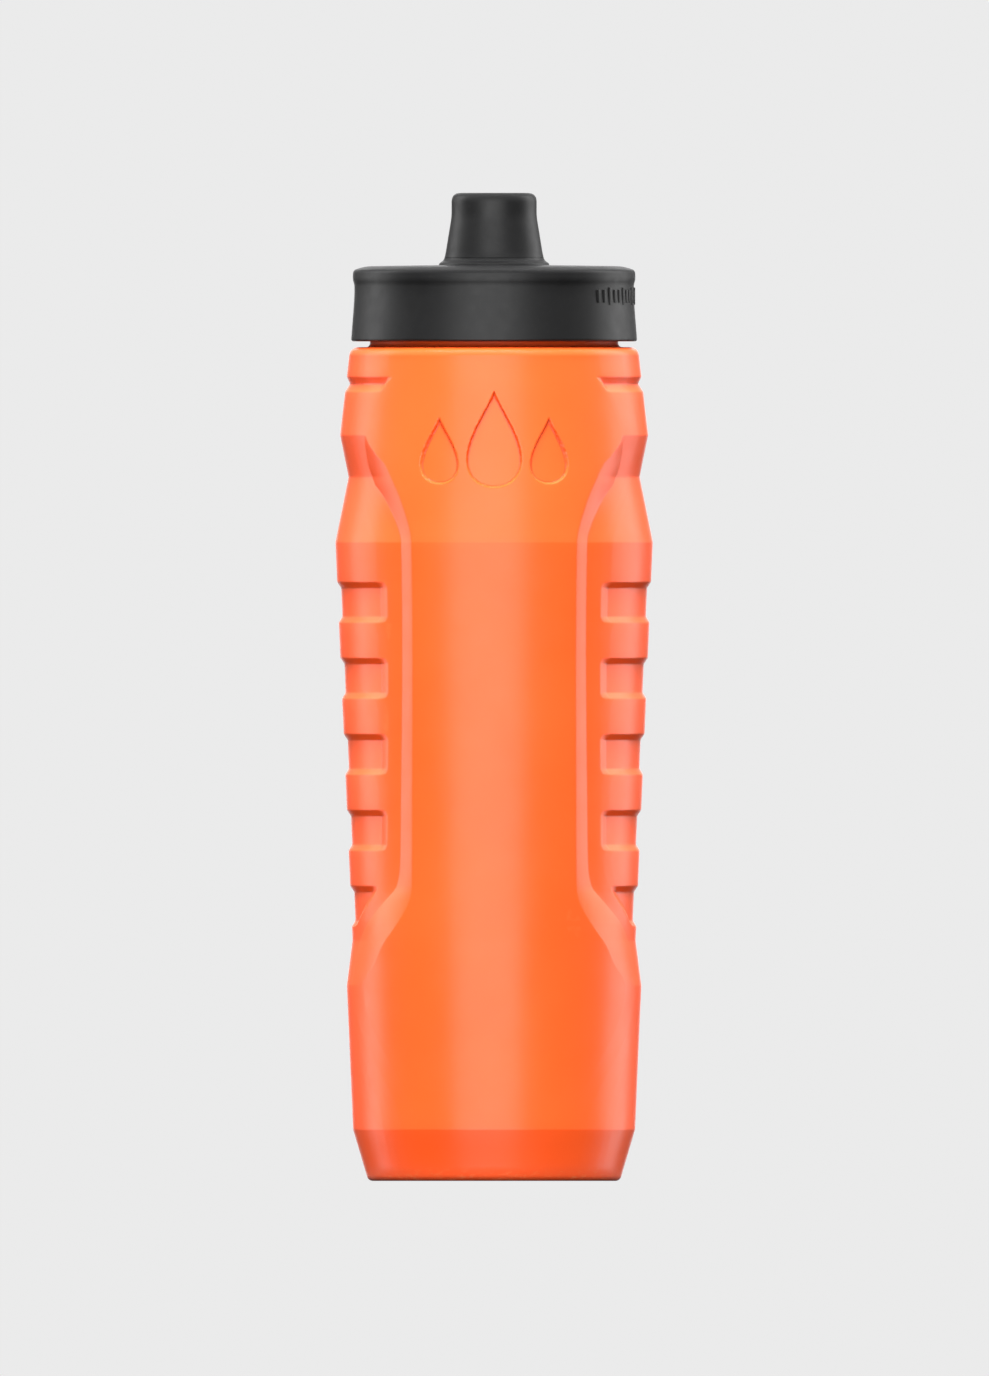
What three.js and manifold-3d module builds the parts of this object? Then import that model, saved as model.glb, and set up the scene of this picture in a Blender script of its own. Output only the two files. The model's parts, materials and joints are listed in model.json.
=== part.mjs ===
// A squeezable sports bottle with a screw lid and a push-pull nozzle. Millimetres, +Z up, front facing -Y.
// The origin is the centre of the base, on the surface that the bottle stands on.
import * as THREE from "three";
import { mergeVertices } from "three/addons/utils/BufferGeometryUtils.js";
import Module from "manifold-3d";

const wasm = await Module();
wasm.setup();

// ---- Driving dimensions ---------------------------------------------------------------------

const GAP = 0.3; // between two pieces that touch

// Blow-moulded body: two cones that meet at the belt, on a short heel.
const SHOULDER_Z = 219.4;
const UPPER_CONE_HEIGHT = 51.4;
const HEEL_HEIGHT = 13.5;
const BELT_RADIUS = 43.75;
const COLLAR_RADIUS = 37.85;
const HEEL_RADIUS = 37.1;
const BASE_RADIUS = 33.1;
const BASE_ROUND = 1.2; // between the standing ring and the heel
const SHOULDER_ROUND = 2.2;
const BODY_WALL = 1.5;
const FLOOR_THICKNESS = 1.8;
const PUSH_UP_HEIGHT = 2.6;
const PUSH_UP_SLOPE = 6; // width of the slope from the standing ring up to the flat middle
const STANDING_RING_WIDTH = 5.5;
const SHOULDER_THICKNESS = 2;

// Finger grips, one panel on each side.
const PANEL_DEPTH = 2.0;
const WAIST_DEPTH = 3.5;
const SLOT_COUNT = 5;
const SLOT_PITCH = 20;
const SLOT_HEIGHT = 10.5;
const SLOT_DEPTH = 1.0;
const SLOT_WALL = 1.75; // height of a slot's sloping top and bottom
const SLOT_END_X = 28.2; // distance of a slot's front end from the mid-plane
const SLOT_END_WIDTH = 6; // degrees that the slot's sloping end takes
const SLOT_END_MARGIN = 4; // fewest degrees of grip floor between the sinking wall and a slot
const BELT_TO_FIRST_SLOT = 10.6;
const NOTCH_DEPTH = 1.1;

// Neck and its two-start thread.
const NECK_HEIGHT = 15.2;
const NECK_RADIUS = 31.2;
const NECK_WALL = 2.4;
const NECK_BEAD = 1.3; // how far the ring at the neck's foot stands out
const NECK_BEAD_HEIGHT = 2.4;
const NECK_FLARE = 1.2; // how much the bead's foot widens into the shoulder
const NECK_FLARE_HEIGHT = 0.8;
const NECK_RIM_ROUND = 0.8;
const THREAD_STARTS = 2;
const THREAD_LEAD = 8;
const THREAD_HEIGHT = 1.4;
const THREAD_FOOT = 2.6;
const THREAD_CREST = 1.2;
const THREAD_ARC = 250; // degrees that one start runs
const THREAD_RUN_OUT = 0.2; // share of its height that a start has left at its ends
const THREAD_SINK = 0.4; // how far a thread reaches into the wall it stands on
const THREAD_FROM_SHOULDER = 4.6; // lower end of the neck thread's centre line
const LINER_THREAD_FROM = 80; // degrees at which the liner's first start begins

// Lid: a soft-touch shell over a threaded liner.
const LID_TO_SHOULDER = 1.5;
const GASKET_THICKNESS = 1.4;
const GASKET_EDGE = 0.5; // between the gasket and the liner's wall
const LINER_TOP = 2.0;
const LINER_WALL = 1.6;
const LINER_SETBACK = 0.4; // how much higher the liner's lower edge ends than the shell's
const SEAL_LIP_DEPTH = 3.6;
const SEAL_LIP_WALL = 1.4;
const SEAL_LIP_CLEARANCE = 0.4; // between the lip and the neck's bore
const SEAL_LIP_TAPER = 0.8;
const SHELL_TOP = 2.1;
const SHELL_WALL = 1.95; // at the waist, its thinnest place
const SHELL_FLARE = 0.95; // how much further out the lower edge stands than the waist
const SHELL_FLARE_HEIGHT = 9;
const SHELL_RIM_HEIGHT = 4.4;
const SHELL_RIM_STEP = 0.5;
const DRIVE_RIBS = 6; // they carry the twist from the shell to the liner
const DRIVE_RIB_WIDTH = 3;
const DRIVE_RIB_HEIGHT = 0.7;
const DRIVE_RIB_SETBACK = 2; // from the lid's lower edge

// Spout: a chimney with a central pin, on which the nozzle slides.
const CHIMNEY_RADIUS = 8.0;
const CHIMNEY_WALL = 1.8;
const CHIMNEY_HEIGHT = 11.3; // above the lid's top
const NOZZLE_TRAVEL = 6;
const STOP_BEAD = 0.75;
const STOP_BEAD_HEIGHT = 0.6;
const RING_SECTION_RADIUS = 0.65;
const RING_CLEARANCE = 0.1; // all round the ring in its groove
const GROOVE_TO_TOP = 0.5;
const GROOVE_LIP = 0.3;
const PIN_RADIUS = 2.95;
const PIN_NECK = 0.6; // how much thinner the pin is below its head
const PIN_HEAD_HEIGHT = 2.9;
const WEB_COUNT = 3;
const WEB_THICKNESS = 1.4;
const WEB_HEIGHT = 4;

const SLEEVE_WALL = 1.2;
const SLEEVE_LIP_HEIGHT = 1.6;
const CUP_SETBACK = 0.8; // how much narrower the valve's cup is than the sleeve
const RUNNING_CLEARANCE = 0.2;
const ORIFICE_CLEARANCE = 0.15;
const VALVE_THICKNESS = 2.0;
const VALVE_MEMBRANE = 0.8;
const VALVE_RIM_OVERLAP = 0.4; // how far the valve's thick rim reaches in under the mouth's edge
const VALVE_DISH = 0.4; // height of the membrane's middle above the valve's underside
const VALVE_SLIT_LENGTH = 6;
const VALVE_SLIT_WIDTH = 0.3;
const RETAINER_HEIGHT = 1.0;
const MOUTH_RADIUS = 5.5;
const SNAP_BEAD = 0.6; // the ring on the sleeve that holds the cover
const SNAP_BEAD_HEIGHT = 1;

const NOZZLE_HEIGHT = 19.1;
const NOZZLE_TIP_HEIGHT = 6.2; // the straight part below the top
const NOZZLE_FOOT_HEIGHT = 2.7;
const SEAT_DEPTH = 0.4; // of the round seat in the lid's top that takes the nozzle's foot
const TIP_WALL = 1.55;
const SKIRT_WALL = 2.35;
const FOOT_WALL = 4.15;

const LID_SEGMENTS = 36;
const NOZZLE_SEGMENTS = 32;
const FILLET_STEPS = 3;

// ---- Derived places -------------------------------------------------------------------------

const BELT_Z = SHOULDER_Z - UPPER_CONE_HEIGHT;
const FIRST_SLOT_Z = BELT_Z - BELT_TO_FIRST_SLOT;
const LAST_SLOT_Z = FIRST_SLOT_Z - (SLOT_COUNT - 1) * SLOT_PITCH;
const WAIST_Z = BELT_Z + 17;
const PANEL_TOP_Z = BELT_Z + 27.8;
const RAMP_TOP_Z = LAST_SLOT_Z - 13.6;
const PANEL_BOTTOM_Z = LAST_SLOT_Z - 26;
const NOTCH_Z = SHOULDER_Z - 9.6;
const NOTCH_HALF = 2;

const RIM_Z = SHOULDER_Z + NECK_HEIGHT;
const GASKET_Z = RIM_Z + GAP;
const LINER_TOP_Z = GASKET_Z + GASKET_THICKNESS + GAP; // underside of the liner's top
const SHELL_TOP_Z = LINER_TOP_Z + LINER_TOP + GAP; // underside of the shell's top
const LID_TOP_Z = SHELL_TOP_Z + SHELL_TOP;
const LID_BOTTOM_Z = SHOULDER_Z + LID_TO_SHOULDER;
const THREAD_Z = SHOULDER_Z + THREAD_FROM_SHOULDER;
const LINER_RADIUS = NECK_RADIUS + THREAD_HEIGHT + GAP;
const SHELL_INNER_RADIUS = LINER_RADIUS + LINER_WALL + GAP;
const SHELL_WAIST_RADIUS = SHELL_INNER_RADIUS + SHELL_WALL;

const CHIMNEY_TOP_Z = LID_TOP_Z + CHIMNEY_HEIGHT;
const LIP_Z = LID_TOP_Z + 2 * GAP; // lower end of the sliding sleeve
const STOP_Z = LIP_Z + SLEEVE_LIP_HEIGHT + NOZZLE_TRAVEL + GAP; // the sleeve's lip stops under it
const BORE_RADIUS = CHIMNEY_RADIUS + STOP_BEAD + RUNNING_CLEARANCE;
const LIP_RADIUS = CHIMNEY_RADIUS + RUNNING_CLEARANCE;
const SNAP_Z = LIP_Z + SLEEVE_LIP_HEIGHT + GAP;
const SLEEVE_RADIUS = BORE_RADIUS + SLEEVE_WALL;
const FLANGE_Z = CHIMNEY_TOP_Z + GAP;
const ORIFICE_RADIUS = PIN_RADIUS + ORIFICE_CLEARANCE;
const VALVE_Z = FLANGE_Z + SLEEVE_WALL + GAP;
const CUP_RADIUS = SLEEVE_RADIUS - CUP_SETBACK;
const VALVE_RADIUS = CUP_RADIUS - SLEEVE_WALL - GAP;
const RETAINER_Z = VALVE_Z + VALVE_THICKNESS + GAP;
const CUP_TOP_Z = RETAINER_Z + RETAINER_HEIGHT;
const SEAT_Z = LID_TOP_Z - SEAT_DEPTH;
const NOZZLE_Z = SEAT_Z + GAP;
const NOZZLE_TOP_Z = NOZZLE_Z + NOZZLE_HEIGHT;
const NOZZLE_TIP_RADIUS = CUP_RADIUS + GAP + TIP_WALL;
const NOZZLE_SKIRT_RADIUS = SLEEVE_RADIUS + GAP + SKIRT_WALL;
const NOZZLE_FOOT_RADIUS = SLEEVE_RADIUS + GAP + FOOT_WALL;

// ---- Tools ----------------------------------------------------------------------------------

const radians = THREE.MathUtils.degToRad;

// A closed geometry as a solid that can be joined and cut.
function solidOf(geometry) {
  geometry.deleteAttribute("normal");
  geometry.deleteAttribute("uv");
  const merged = mergeVertices(geometry, 1e-4);
  return new wasm.Manifold(
    new wasm.Mesh({
      numProp: 3,
      vertProperties: merged.attributes.position.array,
      triVerts: new Uint32Array(merged.index.array),
    }),
  );
}

function geometryOf(solid) {
  const mesh = solid.getMesh();
  const geometry = new THREE.BufferGeometry();
  geometry.setAttribute("position", new THREE.BufferAttribute(mesh.vertProperties, 3));
  geometry.setIndex(new THREE.BufferAttribute(mesh.triVerts, 1));
  geometry.computeVertexNormals();
  return geometry;
}

// Corners [radius, height, fillet] as a smooth half section. It closes on itself unless it ends on the axis.
function section(corners) {
  const points = vectors(corners);
  const onAxis = points[0].x === 0;
  const path = new THREE.Path();
  corners.forEach(([, , fillet = 0], i) => {
    const corner = points[i];
    if (!fillet) {
      if (i === 0) path.moveTo(corner.x, corner.y);
      else path.lineTo(corner.x, corner.y);
      return;
    }
    const before = points[(i + points.length - 1) % points.length];
    const after = points[(i + 1) % points.length];
    const into = before.clone().sub(corner).setLength(fillet).add(corner);
    const out = after.clone().sub(corner).setLength(fillet).add(corner);
    if (i === 0) path.moveTo(into.x, into.y);
    else path.lineTo(into.x, into.y);
    path.quadraticCurveTo(corner.x, corner.y, out.x, out.y);
  });
  const outline = path.getPoints(FILLET_STEPS);
  if (!onAxis) outline.push(outline[0].clone());
  return outline;
}

function vectors(pairs) {
  return pairs.map(([r, z]) => new THREE.Vector2(r, z));
}

// A section given anticlockwise, turned about the Z axis.
function turned(corners, segments) {
  const lathe = new THREE.LatheGeometry(section(corners), segments);
  lathe.rotateX(Math.PI / 2);
  return solidOf(lathe);
}

function cylinder(radius, fromZ, toZ, segments) {
  return turned([[0, fromZ], [radius, fromZ], [radius, toZ], [0, toZ]], segments);
}

function box(width, depth, height, x, y, z) {
  return solidOf(new THREE.BoxGeometry(width, depth, height).translate(x, y, z));
}

function copiesAround(count, make) {
  const copies = [];
  for (let i = 0; i < count; i++) copies.push(make().rotate([0, 0, (i * 360) / count]));
  return copies.reduce((all, copy) => all.add(copy));
}

// One start of a thread: a straight bar with the thread's section, bent round into a helix.
// side is 1 for a thread that stands out from its wall and -1 for one that stands inwards.
function threadStart(wallRadius, side, fromDegrees, centreZ) {
  const bar = new THREE.Shape([
    new THREE.Vector2(-THREAD_SINK, -THREAD_FOOT / 2),
    new THREE.Vector2(0, -THREAD_FOOT / 2),
    new THREE.Vector2(THREAD_HEIGHT, -THREAD_CREST / 2),
    new THREE.Vector2(THREAD_HEIGHT, THREAD_CREST / 2),
    new THREE.Vector2(0, THREAD_FOOT / 2),
    new THREE.Vector2(-THREAD_SINK, THREAD_FOOT / 2),
  ]);
  const steps = Math.round(THREAD_ARC / 10);
  const geometry = new THREE.ExtrudeGeometry(bar, { depth: 1, steps, bevelEnabled: false });
  const position = geometry.getAttribute("position");
  for (let i = 0; i < position.count; i++) {
    const along = side > 0 ? 1 - position.getZ(i) : position.getZ(i); // keeps the faces pointing out
    const degrees = fromDegrees + along * THREAD_ARC;
    const stepsFromEnd = Math.min(along, 1 - along) * steps;
    const height = position.getX(i) * (stepsFromEnd < 0.5 && position.getX(i) > 0 ? THREAD_RUN_OUT : 1);
    const radius = wallRadius + side * height;
    position.setXYZ(
      i,
      radius * Math.cos(radians(degrees)),
      radius * Math.sin(radians(degrees)),
      centreZ + position.getY(i) + (THREAD_LEAD * (degrees - fromDegrees)) / 360,
    );
  }
  return solidOf(geometry);
}

// The value between the rows [height, ...values] of a table, which runs from the top down.
function between(table, z, column) {
  const last = table.length - 1;
  if (z >= table[0][0]) return table[0][column];
  if (z <= table[last][0]) return table[last][column];
  const i = table.findIndex(([height]) => height <= z);
  const [upper, lower] = [table[i - 1], table[i]];
  const share = (z - lower[0]) / (upper[0] - lower[0]);
  return THREE.MathUtils.lerp(lower[column], upper[column], share);
}

// ---- Bottle ---------------------------------------------------------------------------------

const CONES = [
  [SHOULDER_Z, COLLAR_RADIUS],
  [BELT_Z, BELT_RADIUS],
  [HEEL_HEIGHT, HEEL_RADIUS],
  [0, BASE_RADIUS],
];

// Height, then the angles from the front, in degrees, where the surface starts to sink and where it
// reaches the grip's floor.
const GRIP_EDGES = [
  [NOTCH_Z + NOTCH_HALF, 44, 50],
  [NOTCH_Z, 47, 52],
  [NOTCH_Z - NOTCH_HALF, 50, 56],
  [PANEL_TOP_Z, 58, 64],
  [WAIST_Z, 41, 59],
  [BELT_Z + 9, 34.5, 44],
  [BELT_Z, 30, 36],
  [LAST_SLOT_Z + 3, 33, 40.5],
  [LAST_SLOT_Z - 3.3, 33.5, 49],
  [LAST_SLOT_Z - 7.3, 36, 57],
  [RAMP_TOP_Z, 43, 70],
  [LAST_SLOT_Z - 20.9, 55, 70],
  [PANEL_BOTTOM_Z, 64, 72],
  [HEEL_HEIGHT, 36, 46],
];

// How far the grip's floor lies below the cones.
const FLOOR_DEPTHS = [
  [NOTCH_Z + NOTCH_HALF, 0],
  [NOTCH_Z, NOTCH_DEPTH],
  [NOTCH_Z - NOTCH_HALF, 0],
  [PANEL_TOP_Z, 0],
  [WAIST_Z, WAIST_DEPTH],
  [BELT_Z, PANEL_DEPTH],
  [RAMP_TOP_Z, PANEL_DEPTH],
  [PANEL_BOTTOM_Z, 0],
];

const slotTops = Array.from({ length: SLOT_COUNT }, (_, i) => FIRST_SLOT_Z - i * SLOT_PITCH);

// The angles from the front of one quarter's marked columns at a height: front, start of the sinking wall,
// its foot, a slot's end, that end's foot, and the side.
function markedAngles(z) {
  const outer = between(GRIP_EDGES, z, 1);
  const inner = between(GRIP_EDGES, z, 2);
  const floorRadius = between(CONES, z, 1) - PANEL_DEPTH;
  const slotEnd = Math.asin(SLOT_END_X / floorRadius) / radians(1);
  const end = Math.max(slotEnd, inner + SLOT_END_MARGIN);
  return [0, outer, inner, end, end + SLOT_END_WIDTH, 90];
}

function slotShare(z) {
  const shares = slotTops.map((top) => Math.min(top - z, z - (top - SLOT_HEIGHT)) / SLOT_WALL);
  return THREE.MathUtils.clamp(Math.max(...shares), 0, 1);
}

// Radius of the body's surface at a height and an angle from the front within a quarter.
function bodyRadius(z, angle) {
  const [, outer, inner, end, endFoot] = markedAngles(z);
  const sunk = THREE.MathUtils.clamp((angle - outer) / (inner - outer), 0, 1);
  const slotted = THREE.MathUtils.clamp((angle - end) / (endFoot - end), 0, 1);
  const floorDepth = sunk * between(FLOOR_DEPTHS, z, 1);
  const slotDepth = Math.min(slotted, slotShare(z)) * SLOT_DEPTH;
  return between(CONES, z, 1) - floorDepth - slotDepth;
}

// The body's solid, its surface moved in by inset. foot and top are the half section below and above the rows,
// and columns says how many strips lie between two marked angles.
function bodySolid(inset, rows, foot, top, columns) {
  const strips = columns.reduce((sum, n) => sum + n);
  const ascending = [...rows].sort((a, b) => a - b).map((z) => [1, z]);
  const profile = vectors([...foot, ...ascending, ...top]);
  const lathe = new THREE.LatheGeometry(profile, 4 * strips);
  const position = lathe.getAttribute("position");
  for (let i = 0; i < position.count; i++) {
    const row = i % profile.length;
    const z = profile[row].y;
    const column = Math.floor(i / profile.length);
    const quarter = Math.floor(column / strips);
    const inQuarter = quarter % 2 ? strips - (column % strips) : column % strips;
    const marks = markedAngles(z);
    let mark = 0;
    let step = inQuarter;
    while (mark < columns.length - 1 && step >= columns[mark]) step -= columns[mark++];
    const angle = THREE.MathUtils.lerp(marks[mark], marks[mark + 1], step / columns[mark]);
    const around = radians(quarter % 2 ? (quarter + 1) * 90 - angle : quarter * 90 + angle);
    const onWall = row >= foot.length && row < foot.length + rows.length;
    const radius = onWall ? bodyRadius(z, angle) - inset : profile[row].x;
    position.setXYZ(i, radius * Math.sin(around), z, radius * Math.cos(around));
  }
  lathe.rotateX(Math.PI / 2);
  return solidOf(lathe);
}

function makeBottle() {
  const slotRows = slotTops.flatMap((top) => [
    top,
    top - SLOT_WALL,
    top - SLOT_HEIGHT + SLOT_WALL,
    top - SLOT_HEIGHT,
  ]);
  const wallRows = [...GRIP_EDGES.map(([z]) => z), ...slotRows];
  const ringRadius = BASE_RADIUS - BASE_ROUND;
  const pushUpRadius = ringRadius - STANDING_RING_WIDTH;
  const pushedFloorZ = PUSH_UP_HEIGHT + FLOOR_THICKNESS;
  const outside = bodySolid(
    0,
    [...wallRows, BASE_ROUND, SHOULDER_Z - SHOULDER_ROUND],
    [
      [0, PUSH_UP_HEIGHT],
      [pushUpRadius - PUSH_UP_SLOPE, PUSH_UP_HEIGHT],
      [pushUpRadius, 0],
      [ringRadius, 0],
    ],
    [
      [COLLAR_RADIUS - 0.1, SHOULDER_Z - SHOULDER_ROUND / 2],
      [COLLAR_RADIUS - 0.8, SHOULDER_Z - SHOULDER_ROUND / 5],
      [COLLAR_RADIUS - SHOULDER_ROUND, SHOULDER_Z],
      [0, SHOULDER_Z],
    ],
    [3, 1, 1, 1, 3],
  );

  const boreRadius = NECK_RADIUS - NECK_WALL;
  const shoulderInside = SHOULDER_Z - SHOULDER_THICKNESS;
  const shoulderInsideRadius = COLLAR_RADIUS - BODY_WALL - SHOULDER_ROUND + 0.5;
  const inside = bodySolid(
    BODY_WALL,
    [...wallRows, FLOOR_THICKNESS + BODY_WALL],
    [
      [0, pushedFloorZ],
      [pushUpRadius - PUSH_UP_SLOPE + 0.5, pushedFloorZ],
      [pushUpRadius + 0.8, FLOOR_THICKNESS],
      [ringRadius - BODY_WALL, FLOOR_THICKNESS],
    ],
    [[shoulderInsideRadius, shoulderInside - 1.4], [boreRadius, shoulderInside], [0, shoulderInside]],
    [2, 1, 1, 1, 2],
  );

  const beadRadius = NECK_RADIUS + NECK_BEAD;
  const beadTopZ = SHOULDER_Z + NECK_BEAD_HEIGHT;
  const neckRootZ = SHOULDER_Z - SHOULDER_THICKNESS / 2; // sunk in the shoulder, to join it
  const neck = turned(
    [
      [0, neckRootZ],
      [beadRadius + NECK_FLARE, neckRootZ],
      [beadRadius + NECK_FLARE, SHOULDER_Z],
      [beadRadius, SHOULDER_Z + NECK_FLARE_HEIGHT],
      [beadRadius, beadTopZ],
      [NECK_RADIUS, beadTopZ + 0.3],
      [NECK_RADIUS, RIM_Z, NECK_RIM_ROUND],
      [0, RIM_Z],
    ],
    LID_SEGMENTS,
  );
  const thread = copiesAround(THREAD_STARTS, () => threadStart(NECK_RADIUS, 1, 0, THREAD_Z));
  const bore = cylinder(boreRadius, shoulderInside - 1, RIM_Z + 1, LID_SEGMENTS);
  return outside.add(neck).add(thread).subtract(inside).subtract(bore);
}

// ---- Lid ------------------------------------------------------------------------------------

// The ribs between the liner and the shell, made larger by extra to cut their slots.
function driveRibs(extra) {
  const height = LINER_TOP_Z - LID_BOTTOM_Z - DRIVE_RIB_SETBACK;
  const inner = LINER_RADIUS + LINER_WALL / 2;
  const outer = LINER_RADIUS + LINER_WALL + DRIVE_RIB_HEIGHT + extra;
  return copiesAround(DRIVE_RIBS, () =>
    box(
      outer - inner,
      DRIVE_RIB_WIDTH + 2 * extra,
      height + 2 * extra,
      (inner + outer) / 2,
      0,
      LINER_TOP_Z - height / 2,
    ),
  );
}

function makeLidShell() {
  const waist = SHELL_WAIST_RADIUS;
  const rim = waist + SHELL_RIM_STEP;
  const rimZ = LID_TOP_Z - SHELL_RIM_HEIGHT;
  const foot = waist + SHELL_FLARE;
  const hole = CHIMNEY_RADIUS + GAP;
  const seatRadius = NOZZLE_FOOT_RADIUS + GAP;
  const shell = turned(
    [
      [hole, SHELL_TOP_Z],
      [SHELL_INNER_RADIUS, SHELL_TOP_Z],
      [SHELL_INNER_RADIUS, LID_BOTTOM_Z],
      [foot, LID_BOTTOM_Z, 0.6],
      [waist + 0.25, LID_BOTTOM_Z + SHELL_FLARE_HEIGHT],
      [waist, rimZ - 1.4],
      [rim, rimZ, 0.4],
      [rim, LID_TOP_Z - 1.7],
      [rim - 1.2, LID_TOP_Z - 0.75],
      [rim - 3.8, LID_TOP_Z - 0.25],
      [seatRadius, LID_TOP_Z],
      [seatRadius, SEAT_Z],
      [hole, SEAT_Z],
    ],
    LID_SEGMENTS,
  );
  return shell.subtract(driveRibs(GAP));
}

function makeLidLiner() {
  const lipRadius = NECK_RADIUS - NECK_WALL - SEAL_LIP_CLEARANCE;
  const skirtRadius = LINER_RADIUS + LINER_WALL;
  const grooveTopZ = CHIMNEY_TOP_Z - GROOVE_TO_TOP;
  const grooveSize = 2 * (RING_SECTION_RADIUS + RING_CLEARANCE);
  const grooveRadius = BORE_RADIUS - RUNNING_CLEARANCE - grooveSize;
  const top = LINER_TOP_Z + LINER_TOP;
  const innerRadius = CHIMNEY_RADIUS - CHIMNEY_WALL;
  const liner = turned(
    [
      [innerRadius, LINER_TOP_Z],
      [lipRadius - SEAL_LIP_WALL, LINER_TOP_Z],
      [lipRadius - SEAL_LIP_WALL, LINER_TOP_Z - SEAL_LIP_DEPTH],
      [lipRadius - SEAL_LIP_TAPER / 2, LINER_TOP_Z - SEAL_LIP_DEPTH],
      [lipRadius, LINER_TOP_Z - SEAL_LIP_DEPTH + SEAL_LIP_TAPER],
      [lipRadius, LINER_TOP_Z],
      [LINER_RADIUS, LINER_TOP_Z],
      [LINER_RADIUS, LID_BOTTOM_Z + LINER_SETBACK],
      [skirtRadius, LID_BOTTOM_Z + LINER_SETBACK],
      [skirtRadius, top],
      [CHIMNEY_RADIUS, top],
      [CHIMNEY_RADIUS, STOP_Z],
      [CHIMNEY_RADIUS + STOP_BEAD, STOP_Z + 0.1],
      [CHIMNEY_RADIUS + STOP_BEAD, STOP_Z + STOP_BEAD_HEIGHT],
      [CHIMNEY_RADIUS, grooveTopZ - grooveSize],
      [grooveRadius, grooveTopZ - grooveSize],
      [grooveRadius, grooveTopZ],
      [CHIMNEY_RADIUS + GROOVE_LIP, grooveTopZ],
      [CHIMNEY_RADIUS, CHIMNEY_TOP_Z],
      [innerRadius, CHIMNEY_TOP_Z],
    ],
    LID_SEGMENTS,
  );
  const belowNeckThread = THREAD_LEAD / THREAD_STARTS / 2;
  const threadZ = THREAD_Z - belowNeckThread + (THREAD_LEAD * LINER_THREAD_FROM) / 360;
  const thread = copiesAround(THREAD_STARTS, () =>
    threadStart(LINER_RADIUS, -1, LINER_THREAD_FROM, threadZ),
  );

  const pinTop = FLANGE_Z + SLEEVE_WALL + 0.1;
  const pinChamfer = 0.5;
  const pin = turned(
    [
      [0, LINER_TOP_Z],
      [PIN_RADIUS - PIN_NECK, LINER_TOP_Z],
      [PIN_RADIUS - PIN_NECK, pinTop - PIN_HEAD_HEIGHT - 2 * PIN_NECK],
      [PIN_RADIUS, pinTop - PIN_HEAD_HEIGHT],
      [PIN_RADIUS, pinTop - pinChamfer],
      [PIN_RADIUS - pinChamfer, pinTop],
      [0, pinTop],
    ],
    NOZZLE_SEGMENTS,
  );
  const webReach = innerRadius + CHIMNEY_WALL / 3; // into the chimney's wall
  const web = () => box(webReach, WEB_THICKNESS, WEB_HEIGHT, webReach / 2, 0, LINER_TOP_Z + WEB_HEIGHT / 2);
  return liner.add(thread).add(pin).add(copiesAround(WEB_COUNT, web)).add(driveRibs(0));
}

function makeGasket() {
  const inner = NECK_RADIUS - NECK_WALL;
  const outer = LINER_RADIUS - GASKET_EDGE;
  const top = GASKET_Z + GASKET_THICKNESS;
  return turned([[inner, GASKET_Z], [outer, GASKET_Z], [outer, top], [inner, top]], LID_SEGMENTS);
}

// ---- Spout and nozzle -----------------------------------------------------------------------

function makeSpoutRing() {
  const centre = BORE_RADIUS - RUNNING_CLEARANCE / 2 - RING_SECTION_RADIUS;
  const z = CHIMNEY_TOP_Z - GROOVE_TO_TOP - RING_SECTION_RADIUS - RING_CLEARANCE;
  const ring = new THREE.TorusGeometry(centre, RING_SECTION_RADIUS, 8, NOZZLE_SEGMENTS);
  return solidOf(ring.translate(0, 0, z));
}

function makeNozzleSleeve() {
  return turned(
    [
      [LIP_RADIUS, LIP_Z],
      [SLEEVE_RADIUS, LIP_Z],
      [SLEEVE_RADIUS, SNAP_Z],
      [SLEEVE_RADIUS + SNAP_BEAD, SNAP_Z + SNAP_BEAD_HEIGHT / 2],
      [SLEEVE_RADIUS, SNAP_Z + SNAP_BEAD_HEIGHT],
      [SLEEVE_RADIUS, FLANGE_Z],
      [CUP_RADIUS, FLANGE_Z + SLEEVE_WALL],
      [CUP_RADIUS, CUP_TOP_Z],
      [CUP_RADIUS - SLEEVE_WALL, CUP_TOP_Z],
      [CUP_RADIUS - SLEEVE_WALL, FLANGE_Z + SLEEVE_WALL],
      [ORIFICE_RADIUS, FLANGE_Z + SLEEVE_WALL],
      [ORIFICE_RADIUS, FLANGE_Z],
      [BORE_RADIUS, FLANGE_Z],
      [BORE_RADIUS, LIP_Z + SLEEVE_LIP_HEIGHT],
      [LIP_RADIUS, LIP_Z + SLEEVE_LIP_HEIGHT],
    ],
    NOZZLE_SEGMENTS,
  );
}

function makeJetValve() {
  const top = VALVE_Z + VALVE_THICKNESS;
  const rimInner = MOUTH_RADIUS - VALVE_RIM_OVERLAP;
  const centreZ = VALVE_Z + VALVE_DISH;
  const valve = turned(
    [
      [0, centreZ],
      [rimInner - 1, VALVE_Z + 2 * VALVE_DISH],
      [rimInner, VALVE_Z],
      [VALVE_RADIUS, VALVE_Z],
      [VALVE_RADIUS, top],
      [rimInner, top],
      [0, centreZ + VALVE_MEMBRANE],
    ],
    NOZZLE_SEGMENTS,
  );
  const slit = () => box(VALVE_SLIT_LENGTH, VALVE_SLIT_WIDTH, 2 * VALVE_THICKNESS, 0, 0, centreZ);
  return valve.subtract(slit()).subtract(slit().rotate([0, 0, 90]));
}

function makeValveRetainer() {
  const inner = MOUTH_RADIUS;
  const top = RETAINER_Z + RETAINER_HEIGHT;
  return turned(
    [[inner, RETAINER_Z], [VALVE_RADIUS, RETAINER_Z], [VALVE_RADIUS, top], [inner, top]],
    NOZZLE_SEGMENTS,
  );
}

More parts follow.
